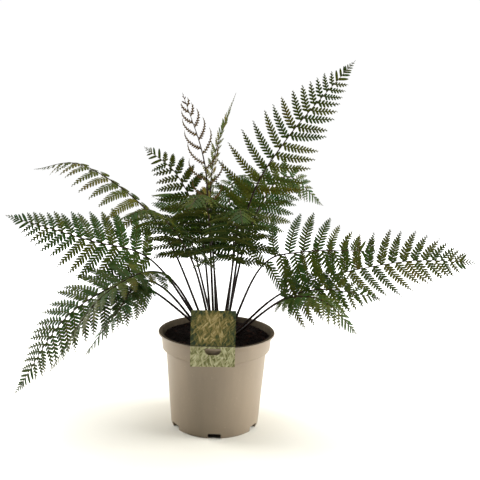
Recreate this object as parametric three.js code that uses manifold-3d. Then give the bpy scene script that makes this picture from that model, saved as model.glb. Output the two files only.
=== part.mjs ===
// Potted autumn fern: a loose tuft of twice-divided fronds rising on thin brown stalks
// from one crown, in a plastic nursery pot of compost with a card label on its rim.
// Millimetres, +Z up. The origin is the middle of the pot's foot, and the label hangs
// on the rim's -Y side.

import * as THREE from 'three';
import { mergeVertices } from 'three/addons/utils/BufferGeometryUtils.js';
import Module from 'manifold-3d';

const wasm = await Module();
wasm.setup();

// Pot
const CLEAR = 0.3;
const SOIL_CLEAR = 0.4;
const MERGE_DISTANCE = 1e-4;
const SEGMENTS = 30;
const WALL = 1.6;
const POT_HEIGHT = 154;
const RIM_RADIUS = 95;
const RIM_THICKNESS = 2.5;
const BAND_TOP_RADIUS = 89.6;
const BAND_BOTTOM_RADIUS = 88.2;
const BAND_BOTTOM_Z = 128;
const BODY_TOP_RADIUS = 82;
const BODY_TOP_Z = 126;
const FOOT_RADIUS = 72;
const FOOT_RING_WIDTH = 7;
const FOOT_PAD_RADIUS = 30;
const FOOT_RECESS = 3;
const FLOOR_THICKNESS = 2.5;
const SLOT_COUNT = 6;
const SLOT_WIDTH = 20;
const SLOT_HEIGHT = 7.6;

// Compost and crown
const SOIL_TOP = 146;
const SOIL_EDGE_DROP = 2;
const SOIL_RINGS = [72, 56];
const SOIL_RELIEF = 1.5;
const SOIL_WAVE_X = 11;
const SOIL_WAVE_Y = 9;
const CROWN_X = 5;
const CROWN_Y = 5;
const CROWN_RADIUS = 34;
const CROWN_SIDES = 12;
const CROWN_FOOT_SHARE = 0.6;
const CROWN_NECK_SHARE = 0.8;
const CROWN_TOP_SHARE = 0.4;
const CROWN_BOTTOM_Z = 118;
const CROWN_SHOULDER_Z = 142;
const CROWN_TOP_Z = 154;

// Card label
const LABEL_WIDTH = 67;
const LABEL_TOP_Z = 213;
const LABEL_BOTTOM_Z = 126;
const LABEL_THICKNESS = 0.8;
const LABEL_X = -5.3;
const TONGUE_WIDTH = 24;
const TONGUE_TOP_Z = 155.2;
const TONGUE_CUT_DEPTH = 10.4;
const TONGUE_END_Z = 148;
const TONGUE_REACH_Y = -83.5;

// Fronds
const STALK_RADIUS = 1.7;
const STALK_END_RADIUS = 1.2;
const STALK_SIDES = 5;
const STALK_STEPS = 4;
const STALK_SUNK = 7;
const ROOT_Z = 146;
const RACHIS_HALF_WIDTH = 1.1;
const RACHIS_HALF_THICKNESS = 0.9;
const RACHIS_WIDTH_TAPER = 0.6;
const RACHIS_THICKNESS_TAPER = 0.5;
const RACHIS_ROOM = 1.9;
const RACHIS_ROOM_STEP = 4;
const RIB_HALF_WIDTH = 0.9;
const RIB_SHARE = 0.95;
const RIB_HALF_THICKNESS = 0.5;
const RIB_TAPER = 0.5;
const LEAF_HALF_THICKNESS = 0.35;
const SPINE_STEPS = 60;
const SPINE_LOOK = 0.012;
const PINNA_LOOK = 0.02;

// Pinnae: two rows along the spine, standing closer and leaning further forward towards
// its tip. SIDE_PLACES is where a pair's +1 and -1 pinnae stand, as shares of its length
// of spine. Longer pinnae have more leaflet pairs.
const PAIR_SPACING = 24;
const SIDE_PLACES = { 1: 0.25, '-1': 0.6 };
const CROWDING = 1.2;
const OPEN_ANGLE = 80;
const LEAN = 32;
const FULLNESS = 1.6;
const LOWEST_SHARE = 0.9;
const SWEEP = 0.16;
const CURL = 0.06;
const PINNA_BASE_HALF = 1.4;
const SHORTEST_PINNA = 9;
const LEAFLET_LENGTH = 11.5;
const LEAFLET_SHARE_OF_ROOM = 0.4;
const LEAFLET_SHARE_OF_PINNA = 0.22;
const LEAFLET_TAPER = 0.55;
const LEAFLET_LEAN = 0.9;
const TWO_LEAFLETS_FROM = 20;
const THREE_LEAFLETS_FROM = 44;

// A spine runs from its root on the crown over the knee, where the leafy blade starts,
// and the bend to the tip. width is the longest pinna, and roll turns the blade about
// its spine. sag is how far a pinna's end droops, against its length. open is the angle
// between the lowest pinnae and the spine, and full how long the blade stays wide.
const FRONDS = [
  { root: [16, 8], knee: [45, 25, 350], bend: [105, 40, 465], tip: [212, 40, 595],
    width: 80, roll: 80, sag: 0 },
  { root: [24, 0], knee: [120, 5, 226], bend: [280, -50, 284], tip: [386, -90, 293],
    width: 75, roll: 112, sag: 0.05, full: 2.6, open: 88 },
  { root: [-16, -2], knee: [-105, -15, 270], bend: [-205, -35, 305], tip: [-325, -40, 340],
    width: 75, roll: -55, sag: 0.1 },
  { root: [-14, 6], knee: [-100, 40, 320], bend: [-225, 66, 412], tip: [-315, 80, 404],
    width: 75, roll: -8, sag: 0.5 },
  { root: [-16, -10], knee: [-105, -50, 245], bend: [-210, -110, 210], tip: [-290, -130, 90],
    width: 72, roll: -35, sag: 0.1 },
  { root: [18, -10], knee: [65, -50, 270], bend: [125, -72, 300], tip: [240, -75, 305],
    width: 86, roll: 65, sag: 0.1, open: 92 },
  { root: [-8, 6], knee: [-30, 40, 310], bend: [-70, 50, 400], tip: [-125, 35, 448],
    width: 62, roll: -70, sag: 0.25 },
  { root: [-4, -4], knee: [-18, -25, 360], bend: [-28, -35, 440], tip: [-60, -40, 530],
    width: 34, roll: 80, sag: 0, bronze: true },
  { root: [4, 14], knee: [-14, 50, 330], bend: [-12, 65, 430], tip: [22, 70, 540],
    width: 60, roll: 90, sag: 0.1 },
  { root: [14, 20], knee: [52, 60, 315], bend: [112, 104, 402], tip: [186, 130, 350],
    width: 66, roll: 65, sag: 0.1 },
  { root: [26, -8], knee: [100, -50, 220], bend: [160, -80, 245], tip: [245, -90, 235],
    width: 58, roll: 55, sag: 0.1 },
  { root: [26, -12], knee: [95, -80, 225], bend: [150, -130, 240], tip: [200, -150, 195],
    width: 52, roll: 10, sag: 0.2 },
  { root: [-15, -5], knee: [-85, -40, 255], bend: [-165, -118, 236], tip: [-240, -140, 124],
    width: 60, roll: 10, sag: 0.3 },
  { root: [-10, -10], knee: [-110, -70, 240], bend: [-140, -150, 220], tip: [-180, -180, 165],
    width: 50, roll: 15, sag: 0.3 },
  { root: [-6, -14], knee: [-40, -60, 280], bend: [-88, -140, 362], tip: [-130, -195, 358],
    width: 74, roll: 0, sag: 0.45 },
  { root: [0, -14], knee: [-8, -70, 290], bend: [-22, -150, 385], tip: [-40, -218, 376],
    width: 74, roll: 0, sag: 0.45 },
  { root: [8, -14], knee: [22, -70, 280], bend: [26, -140, 366], tip: [30, -200, 356],
    width: 74, roll: 0, sag: 0.45 },
  { root: [14, 24], knee: [25, 70, 275], bend: [20, 140, 380], tip: [80, 200, 405],
    width: 75, roll: 0, sag: 0.2 },
  { root: [-4, 20], knee: [-40, 70, 265], bend: [-75, 140, 355], tip: [-130, 200, 355],
    width: 75, roll: 0, sag: 0.2 },
];

const UP = new THREE.Vector3(0, 0, 1);
const DEGREE = Math.PI / 180;

// Closed meshes and solids

function toGeometry(points, faces) {
  const geometry = new THREE.BufferGeometry();
  const coords = points.flatMap((point) => [point.x, point.y, point.z]);
  geometry.setAttribute('position', new THREE.Float32BufferAttribute(coords, 3));
  geometry.setIndex(faces.flat());
  return geometry;
}

function toSolid(geometry) {
  const bare = geometry.clone();
  bare.deleteAttribute('normal');
  bare.deleteAttribute('uv');
  const merged = mergeVertices(bare, MERGE_DISTANCE);
  return new wasm.Manifold(new wasm.Mesh({
    numProp: 3,
    vertProperties: new Float32Array(merged.attributes.position.array),
    triVerts: new Uint32Array(merged.index.array),
  }));
}

function fromSolid(solid) {
  const mesh = solid.getMesh();
  const geometry = new THREE.BufferGeometry();
  geometry.setAttribute('position', new THREE.BufferAttribute(mesh.vertProperties, 3));
  geometry.setIndex(new THREE.BufferAttribute(mesh.triVerts, 1));
  return geometry;
}

function revolve(outline, segments) {
  const points = outline.map(([radius, z]) => new THREE.Vector2(radius, z));
  return new THREE.LatheGeometry(points, segments).rotateX(Math.PI / 2);
}

// A tube of rings round the given points, closed at both ends.
function makeTube(centres, radii, sides) {
  const points = [];
  const faces = [];
  centres.forEach((centre, i) => {
    const before = centres[Math.max(0, i - 1)];
    const after = centres[Math.min(centres.length - 1, i + 1)];
    const along = new THREE.Vector3().subVectors(after, before).normalize();
    const across = new THREE.Vector3(1, 0, 0).addScaledVector(along, -along.x).normalize();
    const other = new THREE.Vector3().crossVectors(along, across);
    for (let k = 0; k < sides; k++) {
      const angle = (2 * Math.PI * k) / sides;
      points.push(centre.clone()
        .addScaledVector(across, radii[i] * Math.cos(angle))
        .addScaledVector(other, radii[i] * Math.sin(angle)));
    }
  });
  for (let i = 0; i < centres.length - 1; i++) {
    for (let k = 0; k < sides; k++) {
      const a = i * sides + k;
      const b = i * sides + ((k + 1) % sides);
      faces.push([a, b, b + sides], [a, b + sides, a + sides]);
    }
  }
  const last = (centres.length - 1) * sides;
  for (let k = 1; k < sides - 1; k++) {
    faces.push([0, k + 1, k], [last, last + k, last + k + 1]);
  }
  return toGeometry(points, faces);
}

// Pot: a thin tapered wall with a wider band and a flat flange at the top, standing on a
// foot ring and a middle pad, with drain slots through the foot.
function makePot() {
  const wallInner = BODY_TOP_RADIUS - WALL;
  const floorTop = FOOT_RECESS + FLOOR_THICKNESS;
  const outline = [
    [0, 0],
    [FOOT_PAD_RADIUS, 0],
    [FOOT_PAD_RADIUS + FOOT_RECESS, FOOT_RECESS],
    [FOOT_RADIUS - FOOT_RING_WIDTH, FOOT_RECESS],
    [FOOT_RADIUS - FOOT_RING_WIDTH, 0],
    [FOOT_RADIUS, 0],
    [BODY_TOP_RADIUS, BODY_TOP_Z],
    [BAND_BOTTOM_RADIUS, BAND_BOTTOM_Z],
    [BAND_TOP_RADIUS, POT_HEIGHT - RIM_THICKNESS],
    [RIM_RADIUS, POT_HEIGHT - RIM_THICKNESS],
    [RIM_RADIUS, POT_HEIGHT],
    [BAND_TOP_RADIUS - WALL, POT_HEIGHT],
    [BAND_BOTTOM_RADIUS - WALL, BAND_BOTTOM_Z + WALL],
    [wallInner, BODY_TOP_Z + WALL],
    [FOOT_RADIUS - WALL, floorTop],
    [0, floorTop],
  ];
  let pot = toSolid(revolve(outline, SEGMENTS));
  const slotDepth = 2 * (FOOT_RING_WIDTH + 1);
  for (let k = 0; k < SLOT_COUNT; k++) {
    const slot = new THREE.BoxGeometry(slotDepth, SLOT_WIDTH, 2 * SLOT_HEIGHT);
    slot.translate(FOOT_RADIUS, 0, 0);
    slot.rotateZ((k + 0.5) * ((2 * Math.PI) / SLOT_COUNT));
    pot = pot.subtract(toSolid(slot));
  }
  return fromSolid(pot);
}

// Compost: fills the pot to just under the band's middle, with a shallow uneven top and
// a plain round hole that the crown stands in.
function makeSoil() {
  const outline = [
    [0, FOOT_RECESS + FLOOR_THICKNESS + SOIL_CLEAR],
    [FOOT_RADIUS - WALL - SOIL_CLEAR, FOOT_RECESS + FLOOR_THICKNESS + SOIL_CLEAR],
    [BODY_TOP_RADIUS - WALL - SOIL_CLEAR, BODY_TOP_Z + WALL + SOIL_CLEAR],
    [BAND_BOTTOM_RADIUS - WALL - SOIL_CLEAR, BAND_BOTTOM_Z + WALL + SOIL_CLEAR],
    [BAND_BOTTOM_RADIUS - WALL - SOIL_CLEAR, SOIL_TOP - SOIL_EDGE_DROP],
    ...SOIL_RINGS.map((radius) => [radius, SOIL_TOP]),
    [0, SOIL_TOP],
  ];
  const heap = revolve(outline, SEGMENTS);
  const position = heap.attributes.position;
  for (let i = 0; i < position.count; i++) {
    if (position.getZ(i) === SOIL_TOP) {
      const wave = Math.sin(position.getX(i) / SOIL_WAVE_X) * Math.cos(position.getY(i) / SOIL_WAVE_Y);
      position.setZ(i, SOIL_TOP + SOIL_RELIEF * wave);
    }
  }
  const hole = revolve([
    [0, CROWN_BOTTOM_Z - CLEAR],
    [CROWN_RADIUS + CLEAR, CROWN_BOTTOM_Z - CLEAR],
    [CROWN_RADIUS + CLEAR, POT_HEIGHT],
    [0, POT_HEIGHT],
  ], CROWN_SIDES).translate(CROWN_X, CROWN_Y, 0);
  return fromSolid(toSolid(heap).subtract(toSolid(hole)));
}

// Label: a card plate in front of the rim. A flap cut from its middle is bent back over
// the flange and down inside the pot, which leaves a round-bottomed window.
function makeLabel() {
  const frontY = -(RIM_RADIUS + CLEAR + LABEL_THICKNESS);
  const half = LABEL_WIDTH / 2;
  const card = new THREE.Shape();
  card.moveTo(-half, LABEL_BOTTOM_Z);
  card.lineTo(half, LABEL_BOTTOM_Z);
  card.lineTo(half, LABEL_TOP_Z);
  card.lineTo(-half, LABEL_TOP_Z);
  card.closePath();
  const cutTop = TONGUE_TOP_Z - LABEL_THICKNESS;
  const window = new THREE.Path();
  window.moveTo(-TONGUE_WIDTH / 2, cutTop);
  window.absellipse(0, cutTop, TONGUE_WIDTH / 2, TONGUE_CUT_DEPTH, Math.PI, 2 * Math.PI, false);
  window.closePath();
  card.holes.push(window);
  const plate = new THREE.ExtrudeGeometry(card, {
    depth: LABEL_THICKNESS, bevelEnabled: false, curveSegments: 5,
  });
  plate.rotateX(Math.PI / 2).translate(0, frontY + LABEL_THICKNESS, 0);

  const hook = new THREE.Shape();
  hook.moveTo(frontY + LABEL_THICKNESS / 4, TONGUE_TOP_Z);
  hook.lineTo(frontY + LABEL_THICKNESS / 4, cutTop);
  hook.lineTo(TONGUE_REACH_Y - LABEL_THICKNESS, cutTop);
  hook.lineTo(TONGUE_REACH_Y - LABEL_THICKNESS, TONGUE_END_Z);
  hook.lineTo(TONGUE_REACH_Y, TONGUE_END_Z);
  hook.lineTo(TONGUE_REACH_Y, TONGUE_TOP_Z);
  hook.closePath();
  const tongue = new THREE.ExtrudeGeometry(hook, { depth: TONGUE_WIDTH, bevelEnabled: false });
  tongue.rotateX(Math.PI / 2).rotateZ(Math.PI / 2).translate(-TONGUE_WIDTH / 2, 0, 0);
  const label = toSolid(plate).add(toSolid(tongue));
  return fromSolid(label).translate(LABEL_X, 0, 0);
}

// Spines

function spineOf(frond) {
  const root = new THREE.Vector3(...frond.root, ROOT_Z);
  const [knee, bend, tip] = [frond.knee, frond.bend, frond.tip].map((p) => new THREE.Vector3(...p));
  const curve = new THREE.CatmullRomCurve3([root, knee, bend, tip], false, 'catmullrom', 0.5);
  const kneeAt = 1 / 3;
  const blade = [];
  for (let i = 0; i <= SPINE_STEPS; i++) {
    blade.push(curve.getPoint(kneeAt + ((1 - kneeAt) * i) / SPINE_STEPS));
  }
  const stalk = [];
  for (let i = 0; i <= STALK_STEPS; i++) {
    stalk.push(curve.getPoint((kneeAt * i) / STALK_STEPS));
  }
  const reach = [0];
  for (let i = 1; i <= SPINE_STEPS; i++) {
    reach.push(reach[i - 1] + blade[i].distanceTo(blade[i - 1]));
  }
  const heading = Math.atan2(tip.y - root.y, tip.x - root.x);
  const level = new THREE.Vector3(-Math.sin(heading), Math.cos(heading), 0);
  return { blade, stalk, reach, level, length: reach[SPINE_STEPS], roll: frond.roll * DEGREE };
}

function pointOn(spine, share) {
  const wanted = THREE.MathUtils.clamp(share, 0, 1) * spine.length;
  let i = 1;
  while (i < SPINE_STEPS && spine.reach[i] < wanted) i += 1;
  const part = (wanted - spine.reach[i - 1]) / (spine.reach[i] - spine.reach[i - 1]);
  return spine.blade[i - 1].clone().lerp(spine.blade[i], part);
}

// The blade's own directions at a share of its length: along the spine, across the
// blade to its +1 side, and out of its upper face.
function frameOn(spine, share) {
  const ahead = pointOn(spine, share + SPINE_LOOK);
  const along = ahead.sub(pointOn(spine, share - SPINE_LOOK)).normalize();
  const level = spine.level.clone().addScaledVector(along, -spine.level.dot(along)).normalize();
  const upper = new THREE.Vector3().crossVectors(along, level);
  const across = level.clone().multiplyScalar(Math.cos(spine.roll))
    .addScaledVector(upper, Math.sin(spine.roll));
  const out = new THREE.Vector3().crossVectors(along, across);
  return { point: pointOn(spine, share), along, across, out };
}

// Sheets: thin leaf surfaces given as one layer of triangles, each vertex with its
// normal and half thickness, which are thickened both ways with the same triangles.

function thicken(sheet, extra = 0) {
  const count = sheet.points.length;
  const upper = sheet.points.map((p, i) => p.clone()
    .addScaledVector(sheet.normals[i], sheet.halves[i] + extra));
  const lower = sheet.points.map((p, i) => p.clone()
    .addScaledVector(sheet.normals[i], -sheet.halves[i] - extra));
  const faces = [];
  const edges = new Set();
  for (const [a, b, c] of sheet.faces) {
    faces.push([a, b, c], [count + a, count + c, count + b]);
    edges.add(`${a},${b}`).add(`${b},${c}`).add(`${c},${a}`);
  }
  for (const edge of edges) {
    const [a, b] = edge.split(',').map(Number);
    if (!edges.has(`${b},${a}`)) {
      faces.push([a, count + a, count + b], [a, count + b, b]);
    }
  }
  return toGeometry([...upper, ...lower], faces);
}

function newSheet() {
  return { points: [], normals: [], halves: [], faces: [] };
}

function addPoint(sheet, point, normal, half) {
  sheet.points.push(point);
  sheet.normals.push(normal);
  sheet.halves.push(half);
  return sheet.points.length - 1;
}

function rachisHalfWidth(share) {
  return RACHIS_HALF_WIDTH * (1 - RACHIS_WIDTH_TAPER * share);
}

function rachisHalfThickness(share) {
  return RACHIS_HALF_THICKNESS * (1 - RACHIS_THICKNESS_TAPER * share);
}

function leafletPairs(length) {
  if (length > THREE_LEAFLETS_FROM) return 3;
  return length > TWO_LEAFLETS_FROM ? 2 : 1;
}

// How a pinna lies: where it leaves the spine, how long it is, and its curve.
function pinnaPlan(frond, spine, pair, pairs, side) {
  const place = (pair + SIDE_PLACES[side]) / pairs;
  const share = 1 - (1 - place) ** CROWDING;
  const nextShare = 1 - (1 - Math.min(1, place + 1 / pairs)) ** CROWDING;
  const lowest = pair === 0 ? LOWEST_SHARE : 1;
  const length = frond.width * (1 - share ** (frond.full ?? FULLNESS)) * lowest;
  const angle = ((frond.open ?? OPEN_ANGLE) - LEAN * share) * DEGREE;
  const room = (nextShare - share) * spine.length * Math.sin(angle);
  const depth = Math.min(LEAFLET_LENGTH, LEAFLET_SHARE_OF_ROOM * room, LEAFLET_SHARE_OF_PINNA * length);
  return { share, length, angle, side, depth };
}

// One pinna as a sheet: a narrow rib with leaflets cut to it along both edges. lift
// turns it out of the blade's plane, and trim shortens it.
function pinnaSheet(frond, spine, plan, lift, trim) {
  const { along, across, out, point } = frameOn(spine, plan.share);
  const { side, angle } = plan;
  const length = plan.length * trim;
  const sideways = across.clone().multiplyScalar(side * Math.cos(lift))
    .addScaledVector(out, Math.sin(lift));
  const start = along.clone().multiplyScalar(Math.cos(angle))
    .addScaledVector(sideways, Math.sin(angle));
  const place = (v) => point.clone()
    .addScaledVector(start, length * v)
    .addScaledVector(along, length * SWEEP * v * v)
    .addScaledVector(out, -length * CURL * v * v)
    .addScaledVector(UP, -length * frond.sag * v * v);
  const frameAt = (v) => {
    const forward = place(v + PINNA_LOOK).sub(place(v - PINNA_LOOK)).normalize();
    const fore = new THREE.Vector3().crossVectors(out, forward).multiplyScalar(-side).normalize();
    const normal = new THREE.Vector3().crossVectors(fore, forward).multiplyScalar(side);
    return { fore, normal };
  };

  const sheet = newSheet();
  const [aftRoot, foreRoot] = [-1, 1].map((end) => {
    const root = frameOn(spine, plan.share + (end * PINNA_BASE_HALF) / spine.length);
    const edge = root.point.addScaledVector(root.across, side * rachisHalfWidth(plan.share));
    return addPoint(sheet, edge, root.out, rachisHalfThickness(plan.share));
  });
  const add = (a, b, c) => sheet.faces.push(side > 0 ? [a, b, c] : [a, c, b]);
  const leaflets = leafletPairs(length);
  let inner = { v: 0, aft: aftRoot, fore: foreRoot };
  for (let i = 1; i <= leaflets; i++) {
    const v = (i / (leaflets + 1)) * RIB_SHARE;
    const { fore, normal } = frameAt(v);
    const half = RIB_HALF_WIDTH * (1 - RIB_TAPER * v);
    const outer = {
      v,
      aft: addPoint(sheet, place(v).addScaledVector(fore, -half), normal, RIB_HALF_THICKNESS),
      fore: addPoint(sheet, place(v).addScaledVector(fore, half), normal, RIB_HALF_THICKNESS),
    };
    add(inner.aft, inner.fore, outer.fore);
    add(inner.aft, outer.fore, outer.aft);

    const tipAt = THREE.MathUtils.lerp(inner.v, outer.v, LEAFLET_LEAN);
    const tip = frameAt(tipAt);
    const depth = plan.depth * trim * (1 - LEAFLET_TAPER * tipAt);
    const foreTip = place(tipAt).addScaledVector(tip.fore, depth);
    const aftTip = place(tipAt).addScaledVector(tip.fore, -depth);
    add(inner.fore, addPoint(sheet, foreTip, tip.normal, LEAF_HALF_THICKNESS), outer.fore);
    add(outer.aft, addPoint(sheet, aftTip, tip.normal, LEAF_HALF_THICKNESS), inner.aft);
    inner = outer;
  }
  const end = addPoint(sheet, place(1), frameAt(1).normal, LEAF_HALF_THICKNESS);
  add(inner.aft, inner.fore, end);
  return { sheet, share: plan.share, side, aft: aftRoot, fore: foreRoot };
}

// Joins a frond's pinnae and the strip of its rachis in one sheet.
function joinFrond(spine, pinnae) {
  const whole = newSheet();
  const edges = { 1: [], '-1': [] };
  const rachisPoint = (share, offset) => {
    const { point, across, out } = frameOn(spine, share);
    return addPoint(whole, point.addScaledVector(across, offset), out, rachisHalfThickness(share));
  };
  const startShare = (2 * CLEAR) / spine.length;
  for (const side of [1, -1]) {
    const index = rachisPoint(startShare, side * RACHIS_HALF_WIDTH);
    edges[side].push({ share: startShare, index });
  }
  for (const pinna of pinnae) {
    const base = whole.points.length;
    const { sheet } = pinna;
    sheet.points.forEach((p, i) => addPoint(whole, p, sheet.normals[i], sheet.halves[i]));
    sheet.faces.forEach((face) => whole.faces.push(face.map((i) => i + base)));
    const half = PINNA_BASE_HALF / spine.length;
    edges[pinna.side].push({ share: pinna.share - half, index: base + pinna.aft });
    edges[pinna.side].push({ share: pinna.share + half, index: base + pinna.fore });
  }
  const tip = { share: 1, index: rachisPoint(1, 0) };
  const [left, right] = [edges[1], edges['-1']];
  left.push(tip);
  right.push(tip);
  let [i, j] = [0, 0];
  while (i < left.length - 1 || j < right.length - 1) {
    const stepLeft = j === right.length - 1
      || (i < left.length - 1 && left[i + 1].share < right[j + 1].share);
    const next = stepLeft ? left[i + 1].index : right[j + 1].index;
    const face = [right[j].index, next, left[i].index];
    if (new Set(face).size === 3) whole.faces.push(face);
    if (stepLeft) i += 1;
    else j += 1;
  }
  return thicken(whole);
}

// Placing pinnae: each one tries its own posture first, then turns further out of the
// blade's plane, and then gets shorter, until it is clear of all that stands already.

const LIFTS = [0, 8, -8, 16, -16, 25, -25, 35, -35].map((angle) => angle * DEGREE);
const TRIMS = [1, 0.8, 0.6, 0.42];

function isClear(body, standing) {
  return !standing.some((other) => other.box.intersectsBox(body.box)
    && body.solid.intersect(other.solid).volume() > 0);
}

function standingBody(geometry) {
  geometry.computeBoundingBox();
  return { solid: toSolid(geometry), box: geometry.boundingBox };
}

function placePinna(frond, spine, plan, standing) {
  for (const trim of TRIMS) {
    for (const lift of LIFTS) {
      const pinna = pinnaSheet(frond, spine, plan, lift, trim);
      const body = standingBody(thicken(pinna.sheet, CLEAR));
      if (isClear(body, standing)) return { ...pinna, body };
    }
  }
  return null;
}

// Crown and stalks: one brown body. The crown stands in the compost's hole.
function makeRhizome(spines) {
  const crown = revolve([
    [0, CROWN_BOTTOM_Z],
    [CROWN_RADIUS * CROWN_FOOT_SHARE, CROWN_BOTTOM_Z],
    [CROWN_RADIUS, (CROWN_BOTTOM_Z + CROWN_SHOULDER_Z) / 2],
    [CROWN_RADIUS, CROWN_SHOULDER_Z],
    [CROWN_RADIUS * CROWN_NECK_SHARE, (CROWN_SHOULDER_Z + CROWN_TOP_Z) / 2],
    [CROWN_RADIUS * CROWN_TOP_SHARE, CROWN_TOP_Z],
    [0, CROWN_TOP_Z],
  ], CROWN_SIDES).translate(CROWN_X, CROWN_Y, 0);
  let rhizome = toSolid(crown);
  for (const spine of spines) {
    const points = spine.stalk.map((point) => point.clone());
    const first = points[1].clone().sub(points[0]).normalize();
    points[0].addScaledVector(first, -STALK_SUNK);
    const radii = points.map((_, i) => (
      THREE.MathUtils.lerp(STALK_RADIUS, STALK_END_RADIUS, i / STALK_STEPS)
    ));
    rhizome = rhizome.add(toSolid(makeTube(points, radii, STALK_SIDES)));
  }
  return fromSolid(rhizome);
}

function finish(color, roughness, metalness = 0) {
  return new THREE.MeshStandardMaterial({ color, roughness, metalness });
}

function named(name, geometry, material) {
  const mesh = new THREE.Mesh(geometry, material);
  mesh.name = name;
  return mesh;
}

const fern = new THREE.Group();
const spines = FRONDS.map(spineOf);
const pot = makePot();
const soil = makeSoil();
const label = makeLabel();
const rhizome = makeRhizome(spines);

fern.add(named('pot', pot, finish(0x8f8475, 0.42)));
fern.add(named('soil', soil, finish(0x2a1c12, 0.95)));
fern.add(named('label', label, finish(0x8c8a5a, 0.35)));
fern.add(named('rhizome', rhizome, finish(0x33241a, 0.6)));

const standing = [pot, soil, label, rhizome].map(standingBody);
const rachisTubes = spines.map((spine) => {
  const centres = spine.blade.filter((_, i) => i > 0 && i % RACHIS_ROOM_STEP === 0);
  return standingBody(makeTube(centres, centres.map(() => RACHIS_ROOM), 4));
});

FRONDS.forEach((frond, f) => {
  const spine = spines[f];
  const pairs = Math.round(spine.length / PAIR_SPACING);
  const others = rachisTubes.filter((_, i) => i !== f);
  const pinnae = [];
  for (let pair = 0; pair < pairs; pair++) {
    for (const side of [1, -1]) {
      const plan = pinnaPlan(frond, spine, pair, pairs, side);
      const pinna = plan.length > SHORTEST_PINNA
        && placePinna(frond, spine, plan, [...standing, ...others]);
      if (pinna) {
        standing.push(pinna.body);
        pinnae.push(pinna);
      }
    }
  }
  const name = `frond_${String(f + 1).padStart(2, '0')}`;
  const green = frond.bronze ? 0x6b4f2c : 0x3f5a2b;
  fern.add(named(name, joinFrond(spine, pinnae), finish(green, 0.55)));
});

export default fern;
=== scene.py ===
import math
import random

import bmesh
import bpy
import numpy as np
from mathutils import Matrix, Vector, noise


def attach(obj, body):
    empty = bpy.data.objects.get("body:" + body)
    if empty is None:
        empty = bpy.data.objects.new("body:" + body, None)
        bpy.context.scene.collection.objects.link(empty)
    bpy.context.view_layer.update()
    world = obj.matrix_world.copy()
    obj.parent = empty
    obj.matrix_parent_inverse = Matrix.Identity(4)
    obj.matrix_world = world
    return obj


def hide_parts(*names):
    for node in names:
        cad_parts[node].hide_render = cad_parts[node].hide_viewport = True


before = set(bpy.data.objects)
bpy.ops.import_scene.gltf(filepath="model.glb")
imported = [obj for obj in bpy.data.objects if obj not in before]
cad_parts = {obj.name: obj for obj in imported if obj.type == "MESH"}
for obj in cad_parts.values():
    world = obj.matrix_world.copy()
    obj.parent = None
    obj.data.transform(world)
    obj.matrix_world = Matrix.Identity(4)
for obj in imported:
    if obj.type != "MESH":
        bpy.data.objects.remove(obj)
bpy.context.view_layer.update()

# Potted autumn fern: the looks of a tuft of twice-divided fronds on thin brown stalks, in
# a moulded nursery pot with a card label. Sizes are in millimetres and become metres only
# where a mesh is made.

MM = 0.001
random.seed(7)

# The photograph's camera, in millimetres and degrees
PHOTO_SIDE = 480
FOCAL_PIXELS = 650
EYE = (0, -1030, 465)
YAW, PITCH, ROLL = 1.87, 8.85, 1.72
SENSOR_WIDTH = 36

# Pot
WALL = 1.6
POT_HEIGHT = 154
RIM_RADIUS = 95
RIM_THICKNESS = 2.5
BAND_TOP_RADIUS = 89.6
BAND_BOTTOM_RADIUS = 88.2
BAND_BOTTOM_Z = 128
BODY_TOP_RADIUS = 82
BODY_TOP_Z = 126
FOOT_RADIUS = 72
FOOT_RING_WIDTH = 7
FOOT_PAD_RADIUS = 30
FOOT_RECESS = 3
FLOOR_THICKNESS = 2.5
SLOT_COUNT = 6
SLOT_WIDTH = 20
SLOT_HEIGHT = 7.6
SLOT_CORNER = 1.6
EASED_EDGE = 0.35
POT_STEPS = 120
# Width of the lip's outer edge left pale: a painted highlight line
HIGHLIGHT_EDGE = 1.2

# Compost and crown
SOIL_TOP = 146
SOIL_CLEAR = 0.4
SOIL_STEPS = 96
HEAP_SPAN = 26
HEAP_RISE = 2.2
CRUMB_SHARE = 4.3
CRUMB_RISE = 0.9
CRUMBS, CHIPS, FIBRES = 1100, 190, 90
CROWN_PLACE = (5, 5)
CROWN_RADIUS = 33
CROWN_BOTTOM_Z = 118
CROWN_TOP_Z = 154
STALK_SCALES = 26
SCALES_REACH = 34
CROWN_SCALES = 420
SCALE_WIDTH = 0.28

# Card label
LABEL_FRONT_Y = -96.1
LABEL_WIDTH = 67
LABEL_TOP_Z = 213
LABEL_BOTTOM_Z = 126
LABEL_THICKNESS = 0.8
LABEL_X = -5.3
HINGE_Z = 157.8
FOLD_WIDTH = 0.6
CARD_CORNER = 1.2
FLAP_BEND = 1.2
TONGUE_WIDTH = 24
TONGUE_TOP_Z = 155.2
TONGUE_CUT_DEPTH = 10.4
WINDOW_SQUARENESS = 0.6
TONGUE_END_Z = 148
TONGUE_REACH_Y = -83.5

# Studio: the walls behind and beside the table are bright, and the camera's side is dim
DIM_SIDE = 0.04
BRIGHT_SIDE = 0.44
SEEN_WHITE = 1.02
MIRRORED_LESS = 0.75
FLOOR_RADIUS = 2.4

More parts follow.
